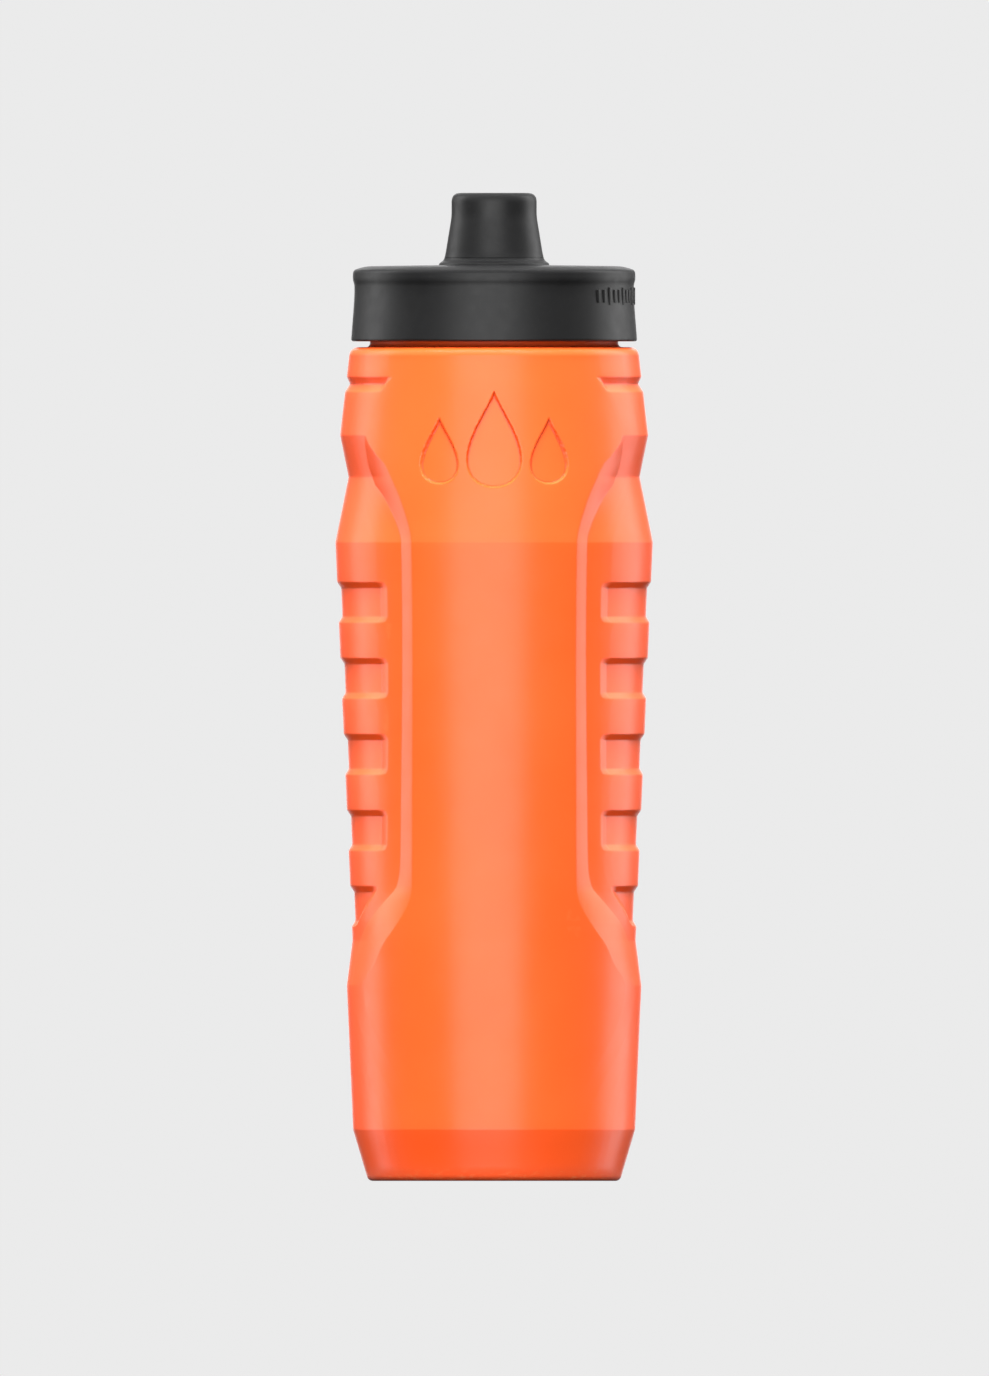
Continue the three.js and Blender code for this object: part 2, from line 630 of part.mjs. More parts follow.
function makeNozzleCover() {
  const boreRadius = SLEEVE_RADIUS + GAP;
  const cupRadius = CUP_RADIUS + GAP;
  const skirtZ = NOZZLE_Z + NOZZLE_FOOT_HEIGHT;
  return turned(
    [
      [boreRadius, NOZZLE_Z],
      [NOZZLE_FOOT_RADIUS, NOZZLE_Z],
      [NOZZLE_SKIRT_RADIUS + 0.5, NOZZLE_Z + 0.9],
      [NOZZLE_SKIRT_RADIUS, skirtZ],
      [NOZZLE_TIP_RADIUS, NOZZLE_TOP_Z - NOZZLE_TIP_HEIGHT],
      [NOZZLE_TIP_RADIUS, NOZZLE_TOP_Z, 2.1],
      [MOUTH_RADIUS, NOZZLE_TOP_Z, 0.8],
      [MOUTH_RADIUS, CUP_TOP_Z + GAP],
      [cupRadius, CUP_TOP_Z + GAP],
      [cupRadius, FLANGE_Z + SLEEVE_WALL],
      [boreRadius, FLANGE_Z],
      [boreRadius, SNAP_Z + SNAP_BEAD_HEIGHT + GAP],
      [boreRadius + SNAP_BEAD, SNAP_Z + SNAP_BEAD_HEIGHT / 2],
      [boreRadius, SNAP_Z - GAP],
    ],
    NOZZLE_SEGMENTS,
  );
}

// ---- Assembly -------------------------------------------------------------------------------

function material(color, roughness) {
  return new THREE.MeshStandardMaterial({ color, roughness, metalness: 0 });
}

const bodyPlastic = material(0xff7a35, 0.45);
const softTouch = material(0x3a3a3b, 0.6);
const linerPlastic = material(0x2c2c2e, 0.4);
const silicone = material(0xd9d9d6, 0.35);
const sealRubber = material(0x55565a, 0.7);

const bottle = new THREE.Group();

function piece(name, solid, finish) {
  const mesh = new THREE.Mesh(geometryOf(solid), finish);
  mesh.name = name;
  return mesh;
}

const nozzle = new THREE.Group();
nozzle.add(
  piece("nozzle_cover", makeNozzleCover(), softTouch),
  piece("nozzle_sleeve", makeNozzleSleeve(), linerPlastic),
  piece("jet_valve", makeJetValve(), silicone),
  piece("valve_retainer", makeValveRetainer(), linerPlastic),
);

const lid = new THREE.Group();
lid.add(
  piece("lid_shell", makeLidShell(), softTouch),
  piece("lid_liner", makeLidLiner(), linerPlastic),
  piece("spout_ring", makeSpoutRing(), sealRubber),
  nozzle,
);

bottle.add(
  piece("bottle_body", makeBottle(), bodyPlastic),
  piece("lid_gasket", makeGasket(), silicone),
  lid,
);

export default bottle;
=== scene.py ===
import json
import math

import bmesh
import bpy
from mathutils import Matrix, Vector
from mathutils.geometry import interpolate_bezier
from mathutils.kdtree import KDTree


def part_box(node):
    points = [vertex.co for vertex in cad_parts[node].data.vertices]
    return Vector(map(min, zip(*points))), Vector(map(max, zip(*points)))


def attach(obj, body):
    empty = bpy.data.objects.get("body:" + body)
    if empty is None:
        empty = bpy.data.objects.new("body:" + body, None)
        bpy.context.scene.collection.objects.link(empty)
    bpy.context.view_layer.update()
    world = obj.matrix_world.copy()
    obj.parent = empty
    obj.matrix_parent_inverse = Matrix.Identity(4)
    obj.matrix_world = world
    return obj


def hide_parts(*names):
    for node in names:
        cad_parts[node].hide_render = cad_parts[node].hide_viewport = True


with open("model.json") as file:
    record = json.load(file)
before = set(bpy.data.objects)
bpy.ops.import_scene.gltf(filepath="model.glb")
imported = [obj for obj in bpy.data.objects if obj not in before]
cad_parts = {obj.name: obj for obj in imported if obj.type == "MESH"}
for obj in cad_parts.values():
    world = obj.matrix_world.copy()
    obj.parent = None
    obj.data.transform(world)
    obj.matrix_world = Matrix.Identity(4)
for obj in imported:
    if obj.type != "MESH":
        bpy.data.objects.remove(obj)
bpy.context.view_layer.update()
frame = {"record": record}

# A squeezable sports bottle with a screw lid and a push-pull nozzle, front facing -Y.
# Sizes are written in millimetres and turned into metres where a mesh is made.

MM = 0.001
GAP = 0.3  # between neighbouring pieces


def bottom(node):
    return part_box(node)[0].z / MM


def top(node):
    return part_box(node)[1].z / MM


def reach(node):
    """How far a node stands out from the bottle's axis, towards the back."""
    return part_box(node)[1].y / MM


# ---- Camera and light -----------------------------------------------------------------------

# Metres, here and in the lights.
VIEW_HEIGHT = 0.3621
VIEW_CENTRE = Vector((0.0001, 0, 0.1297))
CAMERA_DISTANCE = 1.2
LIGHT_DISTANCE = 6  # so far off that the light hardly changes along the bottle


def make_camera():
    data = bpy.data.cameras.new("camera")
    data.type = "ORTHO"
    data.ortho_scale = VIEW_HEIGHT
    camera = bpy.data.objects.new("camera", data)
    camera.location = VIEW_CENTRE + Vector((0, -CAMERA_DISTANCE, 0))
    camera.rotation_euler = (math.radians(90), 0, 0)
    bpy.context.scene.collection.objects.link(camera)
    bpy.context.scene.camera = camera


def make_panel_light(name, azimuth, elevation, wide, tall, radiance, reflected=True):
    """A soft light that faces the bottle, in degrees. Azimuth 0 is in front and +90 on the +X side."""
    turn, lift = math.radians(azimuth), math.radians(elevation)
    out = Vector((math.sin(turn) * math.cos(lift), -math.cos(turn) * math.cos(lift), math.sin(lift)))
    data = bpy.data.lights.new(name, "AREA")
    data.shape = "RECTANGLE"
    data.size = 2 * LIGHT_DISTANCE * math.tan(math.radians(wide / 2))
    data.size_y = 2 * LIGHT_DISTANCE * math.tan(math.radians(tall / 2))
    data.energy = radiance * 4 * data.size * data.size_y
    light = bpy.data.objects.new(name, data)
    light.location = VIEW_CENTRE + out * LIGHT_DISTANCE
    light.rotation_euler = out.to_track_quat("Z", "Y").to_euler()
    light.visible_glossy = reflected
    bpy.context.scene.collection.objects.link(light)


def make_studio(horizon, zenith, backdrop):
    """Soft light all round, brighter from above than from below, in front of an even pale backdrop."""
    world = bpy.data.worlds.new("studio")
    world.use_nodes = True
    nodes, links = world.node_tree.nodes, world.node_tree.links
    direction = nodes.new("ShaderNodeTexCoord")
    split = nodes.new("ShaderNodeSeparateXYZ")
    brightness = nodes.new("ShaderNodeMapRange")
    brightness.inputs["From Min"].default_value = -horizon / (zenith - horizon)
    brightness.inputs["To Max"].default_value = zenith
    light = nodes["Background"]
    seen = nodes.new("ShaderNodeBackground")
    seen.inputs["Strength"].default_value = backdrop
    path = nodes.new("ShaderNodeLightPath")
    mix = nodes.new("ShaderNodeMixShader")
    links.new(direction.outputs["Generated"], split.inputs["Vector"])
    links.new(split.outputs["Z"], brightness.inputs["Value"])
    links.new(brightness.outputs["Result"], light.inputs["Strength"])
    links.new(path.outputs["Is Camera Ray"], mix.inputs["Fac"])
    links.new(light.outputs["Background"], mix.inputs[1])
    links.new(seen.outputs["Background"], mix.inputs[2])
    links.new(mix.outputs["Shader"], nodes["World Output"].inputs["Surface"])
    for background in (light, seen):
        background.inputs["Color"].default_value = (1, 1, 1, 1)
    bpy.context.scene.world = world


make_camera()
make_studio(0.2, 0.9, 0.83)
make_panel_light("front_panel", -5.5, -5, 53, 54, 2.0)
make_panel_light("left_strip", -113, 10, 26, 60, 1.7)
make_panel_light("right_strip", 117, 10, 36, 60, 1.65)
make_panel_light("front_key", -12, 67, 60, 30, 16.5, reflected=False)
make_panel_light("rear_key", 168, 62, 60, 30, 13, reflected=False)
make_panel_light("rear_panel", 180, 0, 26, 44, 1.2)
bpy.context.scene.view_settings.view_transform = "Standard"


# ---- Mesh tools -----------------------------------------------------------------------------

ROUND_STEPS = 4
CREASE_ANGLE = 38  # degrees, past which an edge is drawn sharp


def outline(corners, closed=True):
    """Points of a half section in millimetres, from its corners (radius, height[, rounding])."""
    places = [Vector((c[0], 0, c[1])) for c in corners]
    points = []
    for i, corner in enumerate(corners):
        at_end = not closed and i in (0, len(corners) - 1)
        rounding = corner[2] if len(corner) > 2 and not at_end else 0
        if not rounding:
            points.append(places[i])
            continue
        before = places[i - 1] - places[i]
        after = places[(i + 1) % len(places)] - places[i]
        arc_start = places[i] + before.normalized() * rounding
        arc_end = places[i] + after.normalized() * rounding
        if before.length > 1.5 * rounding:
            points.append(places[i] + before.normalized() * rounding * 1.25)
        pull_in = arc_start.lerp(places[i], 0.6)
        pull_out = arc_end.lerp(places[i], 0.6)
        points += interpolate_bezier(arc_start, pull_in, pull_out, arc_end, ROUND_STEPS + 1)
        if after.length > 1.5 * rounding:
            points.append(places[i] + after.normalized() * rounding * 1.25)
    return points


def spin_points(bm, points, closed, columns):
    """Turns a half section in the XZ plane about the Z axis."""
    verts = [bm.verts.new(p * MM) for p in points]
    edges = [bm.edges.new(pair) for pair in zip(verts, verts[1:])]
    if closed:
        edges.append(bm.edges.new((verts[-1], verts[0])))
    bmesh.ops.spin(
        bm, geom=verts + edges, cent=(0, 0, 0), axis=(0, 0, 1), angle=math.tau, steps=columns, use_merge=True
    )
    bmesh.ops.remove_doubles(bm, verts=bm.verts, dist=1e-6)
    bmesh.ops.dissolve_degenerate(bm, edges=bm.edges, dist=1e-7)
    bmesh.ops.recalc_face_normals(bm, faces=bm.faces)


def turned(corners, closed=True, columns=128):
    bm = bmesh.new()
    spin_points(bm, outline(corners, closed), closed, columns)
    return bm


def on_radius(bm, radius):
    return [v for v in bm.verts if abs(math.hypot(v.co.x, v.co.y) / MM - radius) < 0.01]


def move_out(v, radius):
    """Moves a vertex straight out or in to a radius in millimetres."""
    scale = radius * MM / math.hypot(v.co.x, v.co.y)
    v.co.x *= scale
    v.co.y *= scale


def add_block(bm, size, place, angle=0, rounding=0):
    """A box in millimetres, placed and then turned about the Z axis by an angle in degrees."""
    matrix = (
        Matrix.Rotation(math.radians(angle), 4, "Z")
        @ Matrix.Translation(Vector(place) * MM)
        @ Matrix.Diagonal((*(Vector(size) * MM), 1))
    )
    block = bmesh.ops.create_cube(bm, size=1, matrix=matrix)["verts"]
    if rounding:
        edges = list({e for v in block for e in v.link_edges})
        bmesh.ops.bevel(
            bm, geom=edges, offset=rounding * MM, affect="EDGES", segments=2, profile=0.5, material=-1,
            clamp_overlap=True,
        )


def mesh_object(name, bm):
    mesh = bpy.data.meshes.new(name)
    bm.to_mesh(mesh)
    bm.free()
    piece = bpy.data.objects.new(name, mesh)
    bpy.context.scene.collection.objects.link(piece)
    return piece


def cut_by(name, bm, cutter):
    """What is left of one solid when another is cut out of it."""
    piece = mesh_object(name, bm)
    tool = mesh_object(name + "_cutter", cutter)
    modifier = piece.modifiers.new("cut", "BOOLEAN")
    modifier.operation = "DIFFERENCE"
    modifier.solver = "EXACT"
    modifier.use_self = True
    modifier.object = tool
    evaluated = piece.evaluated_get(bpy.context.evaluated_depsgraph_get())
    result = bmesh.new()
    result.from_mesh(evaluated.to_mesh())
    # A cut can leave two faces back to back on the same corners, which enclose nothing.
    on_corners = {}
    for face in result.faces:
        on_corners.setdefault(frozenset(v.index for v in face.verts), []).append(face)
    flaps = [face for faces in on_corners.values() if len(faces) > 1 for face in faces]
    bmesh.ops.delete(result, geom=flaps, context="FACES")
    for spare in (piece, tool):
        mesh = spare.data
        bpy.data.objects.remove(spare)
        bpy.data.meshes.remove(mesh)
    return result


def finish_piece(name, bm, node, material):
    """Puts a finished mesh in the scene, in the place of its node and on that node's body."""
    piece = mesh_object(name, bm)
    piece.data.shade_smooth()
    piece.data.set_sharp_from_angle(angle=math.radians(CREASE_ANGLE))
    piece.data.materials.append(material)
    bodies = frame["record"]["behaviour"]["bodies"]
    body = next(body for body, nodes in bodies.items() if node in nodes)
    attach(piece, body)
    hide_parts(node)


# ---- Materials ------------------------------------------------------------------------------


class Finish:
    """A material whose patterns read the object's own coordinates."""

    def __init__(self, name):
        self.material = bpy.data.materials.new(name)
        self.material.use_nodes = True
        self.tree = self.material.node_tree
        self.shader = self.tree.nodes["Principled BSDF"]
        self.place = self.add("ShaderNodeTexCoord").outputs["Object"]

    def add(self, kind, **settings):
        node = self.tree.nodes.new(kind)
        for key, value in settings.items():
            setattr(node, key, value)
        return node

    def join(self, source, target):
        self.tree.links.new(source, target)

    def noise(self, grain, detail=2, roughness=0.5, stretch=(1, 1, 1)):
        """Noise whose grains are about that many millimetres across."""
        mapping = self.add("ShaderNodeMapping")
        mapping.inputs["Scale"].default_value = stretch
        self.join(self.place, mapping.inputs["Vector"])
        node = self.add("ShaderNodeTexNoise")
        node.inputs["Scale"].default_value = 1 / (grain * MM)
        node.inputs["Detail"].default_value = detail
        node.inputs["Roughness"].default_value = roughness
        self.join(mapping.outputs["Vector"], node.inputs["Vector"])
        return node.outputs["Fac"]

    def spread(self, source, low, high, to_low=0.0, to_high=1.0):
        """Stretches the values from low to high over the new range, and holds them within it."""
        node = self.add("ShaderNodeMapRange")
        for socket, value in zip(("From Min", "From Max", "To Min", "To Max"), (low, high, to_low, to_high)):
            node.inputs[socket].default_value = value
        self.join(source, node.inputs["Value"])
        return node.outputs["Result"]

    def math(self, operation, first, second=None):
        node = self.add("ShaderNodeMath", operation=operation)
        for socket, value in zip(node.inputs, (first, second)):
            if isinstance(value, (int, float)):
                socket.default_value = value
            elif value is not None:
                self.join(value, socket)
        return node.outputs["Value"]

    def blend(self, amount, first, second):
        """A colour between two others. Either may be a colour or a socket."""
        node = self.add("ShaderNodeMix", data_type="RGBA")
        self.join(amount, node.inputs["Factor"])
        sockets = [s for s in node.inputs if s.type == "RGBA"]
        for socket, value in zip(sockets, (first, second)):
            if isinstance(value, tuple):
                socket.default_value = (*value, 1)
            else:
                self.join(value, socket)
        return next(s for s in node.outputs if s.type == "RGBA")

    def axis(self, name):
        node = self.add("ShaderNodeSeparateXYZ")
        self.join(self.place, node.inputs["Vector"])
        return node.outputs[name]

    def bump(self, height, distance, strength=1.0, under=None):
        node = self.add("ShaderNodeBump")
        node.inputs["Strength"].default_value = strength
        node.inputs["Distance"].default_value = distance * MM
        self.join(height, node.inputs["Height"])
        if under is not None:
            self.join(under, node.inputs["Normal"])
        return node.outputs["Normal"]

    def edges(self, low, high):
        """1 on sharp ridges and 0 elsewhere, or 1 in sharp hollows where low is above high."""
        return self.spread(self.add("ShaderNodeNewGeometry").outputs["Pointiness"], low, high)

    def finish(self, colour, roughness, normal, **values):
        self.join(colour, self.shader.inputs["Base Color"])
        self.join(roughness, self.shader.inputs["Roughness"])
        self.join(normal, self.shader.inputs["Normal"])
        for name, value in values.items():
            self.shader.inputs[name.replace("_", " ")].default_value = value
        return self.material


def body_plastic():
    """Satin orange polyethylene, blow moulded: a faint orange peel, a fine matt grain and a parting line,
    with painted shade darkening its creases and a painted highlight, mixed with rubbed wear, on its sharp
    ridges.
    """
    f = Finish("satin_orange_plastic")
    cloud = f.noise(38, 3)
    grain = f.noise(0.35, 2)
    peel = f.noise(6, 2)
    speckle = f.noise(1.3, 2)
    height = f.axis("Z")
    colour = f.blend(f.spread(cloud, 0.35, 0.65), (0.91, 0.088, 0.012), (0.95, 0.098, 0.015))
    colour = f.blend(f.spread(speckle, 0.55, 0.8, 0, 0.10), colour, (0.96, 0.12, 0.02))
    low = f.spread(height, 0.0, 4 * MM, 1, 0)
    scuff = f.math("MULTIPLY", low, f.spread(f.noise(2.2, 4, 0.7, (1, 1, 3)), 0.52, 0.66, 0, 0.5))
    colour = f.blend(scuff, colour, (0.90, 0.26, 0.09))
    # Painted shade: sharp hollows and creases are darkened towards a deep red.
    colour = f.blend(f.math("MULTIPLY", f.edges(0.496, 0.47), 0.5), colour, (0.36, 0.03, 0.008))
    # Partly rubbed wear and partly painted highlight: sharp ridges are lightened in patches.
    rubbed_and_highlit = f.math("MULTIPLY", f.edges(0.535, 0.575), f.spread(f.noise(3, 3), 0.4, 0.65, 0, 0.2))
    colour = f.blend(rubbed_and_highlit, colour, (0.97, 0.17, 0.05))
    roughness = f.math("ADD", f.spread(peel, 0.3, 0.7, 0.29, 0.35), f.math("MULTIPLY", scuff, 0.3))
    line = f.spread(f.math("ABSOLUTE", f.axis("Y")), 0.05 * MM, 0.28 * MM, 1, 0)
    normal = f.bump(peel, 0.05, 0.35)
    normal = f.bump(grain, 0.012, 0.5, normal)
    normal = f.bump(line, 0.06, 0.6, normal)
    return f.finish(colour, roughness, normal)


def soft_touch():
    """Matt charcoal elastomer with a fine grain and a little dust in it."""
    f = Finish("matt_charcoal_elastomer")
    cloud = f.noise(14, 3)
    grain = f.noise(0.28, 3, 0.6)
    dust = f.noise(0.8, 2, 0.6)
    colour = f.blend(f.spread(cloud, 0.3, 0.7), (0.0042, 0.0042, 0.0044), (0.006, 0.006, 0.0062))
    colour = f.blend(f.spread(dust, 0.62, 0.8, 0, 0.35), colour, (0.018, 0.018, 0.018))
    roughness = f.spread(f.noise(3, 3), 0.3, 0.7, 0.40, 0.47)
    normal = f.bump(grain, 0.02, 0.6)
    normal = f.bump(cloud, 0.1, 0.15, normal)
    return f.finish(colour, roughness, normal, Specular_IOR_Level=0.44)


def liner_plastic():
    """Satin black polypropylene with fine moulding flow marks."""
    f = Finish("satin_black_plastic")
    flow = f.noise(5, 4, 0.6, (1, 1, 0.3))
    colour = f.blend(f.spread(flow, 0.3, 0.7), (0.012, 0.012, 0.013), (0.02, 0.02, 0.021))
    roughness = f.spread(f.noise(1.2, 3), 0.3, 0.7, 0.3, 0.42)
    normal = f.bump(f.noise(0.4, 2), 0.01, 0.4)
    return f.finish(colour, roughness, f.bump(flow, 0.03, 0.3, normal))


def silicone():
    """Pale translucent silicone, faintly milky."""
    f = Finish("pale_silicone")
    milk = f.noise(2.5, 3)
    colour = f.blend(f.spread(milk, 0.3, 0.7), (0.13, 0.13, 0.124), (0.17, 0.17, 0.163))
    roughness = f.spread(f.noise(0.9, 3), 0.3, 0.7, 0.3, 0.4)
    normal = f.bump(f.noise(0.3, 2), 0.01, 0.4)
    return f.finish(colour, roughness, normal, Subsurface_Weight=0.2, Subsurface_Scale=0.0006)


def seal_rubber():
    """Dark grey seal rubber with a fine bloom."""
    f = Finish("grey_seal_rubber")
    bloom = f.noise(1.5, 4, 0.6)
    colour = f.blend(f.spread(bloom, 0.4, 0.7), (0.035, 0.035, 0.038), (0.075, 0.075, 0.08))
    roughness = f.spread(bloom, 0.3, 0.7, 0.5, 0.65)
    return f.finish(colour, roughness, f.bump(f.noise(0.3, 2), 0.012, 0.5))


def floor_paint():
    """Pale floor paint, rolled on almost evenly."""
    f = Finish("pale_floor")
    cloud = f.noise(40, 3)
    colour = f.blend(f.spread(cloud, 0.3, 0.7), (0.114, 0.114, 0.114), (0.117, 0.117, 0.117))
    roughness = f.spread(cloud, 0.3, 0.7, 0.7, 0.75)
    return f.finish(colour, roughness, f.bump(f.noise(2, 3), 0.02, 0.1))


ORANGE = body_plastic()
CHARCOAL = soft_touch()
BLACK = liner_plastic()
PALE = silicone()
GREY = seal_rubber()

# ---- Threads --------------------------------------------------------------------------------

THREAD_STARTS = 2
THREAD_LEAD = 8
THREAD_HEIGHT = 1.4
THREAD_FOOT = 2.6
THREAD_CREST = 1.2
THREAD_ARC = 250
THREAD_TAPER = 14  # degrees over which a start runs out
THREAD_ROW = 0.36  # the height between the rows of a threaded wall


def thread_rise(angle, z, first_angle, first_z):
    """How far a thread stands up from its wall, at an angle in degrees and a height."""
    rise = 0
    for start in range(THREAD_STARTS):
        along = (angle - first_angle - start * 360 / THREAD_STARTS) % 360
        if along > THREAD_ARC:
            continue
        off_centre = abs(z - first_z - THREAD_LEAD * along / 360)
        flank = (THREAD_FOOT - THREAD_CREST) / 2
        share = min(max((THREAD_FOOT / 2 - off_centre) / flank, 0), 1)
        taper = min(along / THREAD_TAPER, (THREAD_ARC - along) / THREAD_TAPER, 1)
        rise = max(rise, THREAD_HEIGHT * share * taper)
    return rise


def raise_thread(bm, radius, low, high, first_angle, first_z, way):
    """Shapes a wall's rows between two heights into a thread, outwards for a way of 1, inwards for -1."""
    for v in on_radius(bm, radius):
        z = v.co.z / MM
        if low < z < high:
            angle = math.degrees(math.atan2(v.co.y, v.co.x)) % 360
            move_out(v, radius + way * thread_rise(angle, z, first_angle, first_z))


# ---- Bottle body ----------------------------------------------------------------------------

RIM_Z = top("bottle_body")
NECK_HEIGHT = 15.2
NECK_RADIUS = 31.2
NECK_WALL = 2.4
BEAD_RADIUS = 32.5
BEAD_HEIGHT = 2.4
THREAD_FROM_SHOULDER = 4.6
SHOULDER_Z = RIM_Z - NECK_HEIGHT
NECK_FOOT_Z = SHOULDER_Z + BEAD_HEIGHT
NECK_BORE = NECK_RADIUS - NECK_WALL
BELT_Z = SHOULDER_Z - 51.4
HEEL_Z = 13.5
BELT_RADIUS = reach("bottle_body")
COLLAR_RADIUS = 37.85
HEEL_RADIUS = 37.1
BASE_RADIUS = 33.1
SHOULDER_ROUND = 2.2
BODY_WALL = 1.5
FLOOR_THICKNESS = 1.8
PUSH_UP = 2.6
STANDING_RING = 26.3  # the inner radius of the flat ring that the bottle stands on

PANEL_DEPTH = 2.0
WAIST_DEPTH = 3.5
WAIST_Z = BELT_Z + 17.2
PANEL_TOP_Z = BELT_Z + 28.2
PANEL_FOOT_Z = BELT_Z - 104.8
PANEL_BOTTOM_Z = BELT_Z - 116.6
NOTCH_Z = SHOULDER_Z - 9.7
NOTCH_DEPTH = 1.1
SLOT_TOPS = [BELT_Z - 10.4 - 20 * i for i in range(5)]
SLOT_HEIGHT = 10.7
SLOT_WALL = 1.6
SLOT_DEPTH = 1.0
SLOT_END_WIDTH = 5  # degrees
SLOT_CORNER = 1.5  # radius of a slot's rounded corners
SLOT_CORNER_ANGLE = 2  # the same round the bottle, in degrees
EDGE = 0.3  # half the width of a rounded edge along the height
EDGE_ANGLE = 0.5  # the same round the bottle, in degrees

# Height, then the angles in degrees from the front of the grip's rim, of its foot and of a slot's end.
GRIP = [
    (HEEL_Z, 33, 41, 52),
    (PANEL_BOTTOM_Z, 63, 75, 81),
    (BELT_Z - 111, 54, 74.5, 81),
    (BELT_Z - 106.2, 49, 72.5, 80),
    (BELT_Z - 101.3, 41.6, 65, 75),
    (BELT_Z - 96.6, 36, 54.5, 65),
    (BELT_Z - 93.8, 33.8, 48.4, 58.7),
    (BELT_Z - 90.5, 32.8, 42.6, 53),
    (BELT_Z - 86, 32.6, 40.6, 49.5),
    (BELT_Z - 80, 32.3, 39.9, 47.4),
    (BELT_Z, 29.8, 35.9, 43),
    (BELT_Z + 4.2, 31.2, 38.3, 47),
    (BELT_Z + 7.9, 33.3, 42, 51),
    (BELT_Z + 12.4, 36.3, 48.1, 58),
    (BELT_Z + 16.3, 39.8, 55.8, 64),
    (BELT_Z + 20.8, 44.5, 58.4, 66.5),
    (BELT_Z + 23, 49, 58.3, 68),
    (PANEL_TOP_Z, 56, 57.6, 70),
    (NOTCH_Z - 2.1, 49.2, 51.6, 66),
    (NOTCH_Z, 47, 49.4, 64),
    (NOTCH_Z + 1.9, 43.9, 46.3, 62),
]

# How far the grip's floor lies below the cones, at the heights where its slope changes.
FLOOR_DEPTHS = [
    (PANEL_BOTTOM_Z, 0),
    (PANEL_FOOT_Z, PANEL_DEPTH),
    (BELT_Z, PANEL_DEPTH),
    (WAIST_Z, WAIST_DEPTH),
    (PANEL_TOP_Z, 0),
    (NOTCH_Z - 2.1, 0),
    (NOTCH_Z, NOTCH_DEPTH),
    (NOTCH_Z + 1.9, 0),
]

CONES = [(0, BASE_RADIUS), (HEEL_Z, HEEL_RADIUS), (BELT_Z, BELT_RADIUS), (SHOULDER_Z, COLLAR_RADIUS)]


def past(distance, width):
    """The distance past an edge, or 0 before it, with the corner between the two rounded."""
    if distance <= -width:
        return 0
    if distance >= width:
        return distance
    return (distance + width) ** 2 / (4 * width)


def slopes(table):
    return [(b[1] - a[1]) / (b[0] - a[0]) for a, b in zip(table, table[1:])]


def follow(table, z, before=0, after=0):
    """A line through a table of (height, value), rounded at its corners, with slopes before and after it."""
    steps = [before, *slopes(table), after]
    value = table[0][1] + before * (z - table[0][0])
    for (height, _), old, new in zip(table, steps, steps[1:]):
        value += (new - old) * past(z - height, EDGE)
    return value


def curve(table, z, column):
    """A smooth curve through one column of a table by height, which never swings past its points."""
    if z <= table[0][0]:
        return table[0][column]
    if z >= table[-1][0]:
        return table[-1][column]
    i = next(i for i in range(1, len(table)) if z <= table[i][0]) - 1

    def slope(k):
        return (table[k + 1][column] - table[k][column]) / (table[k + 1][0] - table[k][0])

    def tangent(k):
        if k in (0, len(table) - 1) or slope(k - 1) * slope(k) <= 0:
            return 0
        return 2 / (1 / slope(k - 1) + 1 / slope(k))

    span = table[i + 1][0] - table[i][0]
    t = (z - table[i][0]) / span
    rise = t * t * (3 - 2 * t)
    return (
        table[i][column] * (1 - rise)
        + table[i + 1][column] * rise
        + span * tangent(i) * t * (1 - t) ** 2
        - span * tangent(i + 1) * t * t * (1 - t)
    )


def slot_corner(z):
    """How many degrees a slot's end draws back at its rounded corners."""
    for slot_top in SLOT_TOPS:
        to_edge = min(slot_top - z, z - slot_top + SLOT_HEIGHT)
        if -EDGE < to_edge < SLOT_CORNER:
            share = min(1 - to_edge / SLOT_CORNER, 1)
            return SLOT_CORNER_ANGLE * (1 - math.sqrt(1 - share * share))
    return 0


def grip_angles(z):
    rim, foot, slot_end = (curve(GRIP, z, column) for column in (1, 2, 3))
    slot_end += slot_corner(z)
    return rim, foot, slot_end, slot_end + SLOT_END_WIDTH


def quarter_columns(z):
    """The columns' angles in one quarter at a height, from front to side, close together at the edges."""
    marks = grip_angles(z)
    angles = []
    start = 0
    for mark, strips in zip(marks, (18, 2, 3, 2)):
        end = mark - EDGE_ANGLE
        angles += [start + (end - start) * i / strips for i in range(strips)]
        angles += [mark + EDGE_ANGLE * share for share in (-1, -0.35, 0.35)]
        start = mark + EDGE_ANGLE
    side_strips = 9
    return angles + [start + (90 - start) * i / side_strips for i in range(side_strips + 1)]


def slot_share(z):
    """0 on the grip's floor, 1 on the floor of a slot."""
    for slot_top in SLOT_TOPS:
        slot_bottom = slot_top - SLOT_HEIGHT
        if slot_bottom - EDGE < z < slot_top + EDGE:
            rows = [(slot_bottom, 0), (slot_bottom + SLOT_WALL, 1), (slot_top - SLOT_WALL, 1), (slot_top, 0)]
            return follow(rows, z)
    return 0


def body_radius(angle, z):
    """Radius of the body's surface. The angle is from the front or back, up to 90 at the side."""
    rim, foot, slot_end, slot_foot = grip_angles(z)
    sunk = (past(angle - rim, EDGE_ANGLE) - past(angle - foot, EDGE_ANGLE)) / (foot - rim)
    slotted = (past(angle - slot_end, EDGE_ANGLE) - past(angle - slot_foot, EDGE_ANGLE)) / SLOT_END_WIDTH
    heel, *_, upper = slopes(CONES)
    cone = follow(CONES, z, heel, upper)
    return cone - sunk * follow(FLOOR_DEPTHS, z) - slotted * slot_share(z) * SLOT_DEPTH


def wall_rows(edges, spacing, coarse):
    """Heights of the wall's rows: a few round each edge, and others at most spacing(z) apart."""
    shares = (0,) if coarse else (-1, -0.35, 0.35, 1)
    rows = sorted(edge + EDGE * share for edge in edges for share in shares)
    full = [rows[0]]
    for row in rows[1:]:
        gap = row - full[-1]
        steps = max(1, math.ceil(gap / spacing((row + full[-1]) / 2)))
        full += [row - gap * (1 - (i + 1) / steps) for i in range(steps)]
    return full


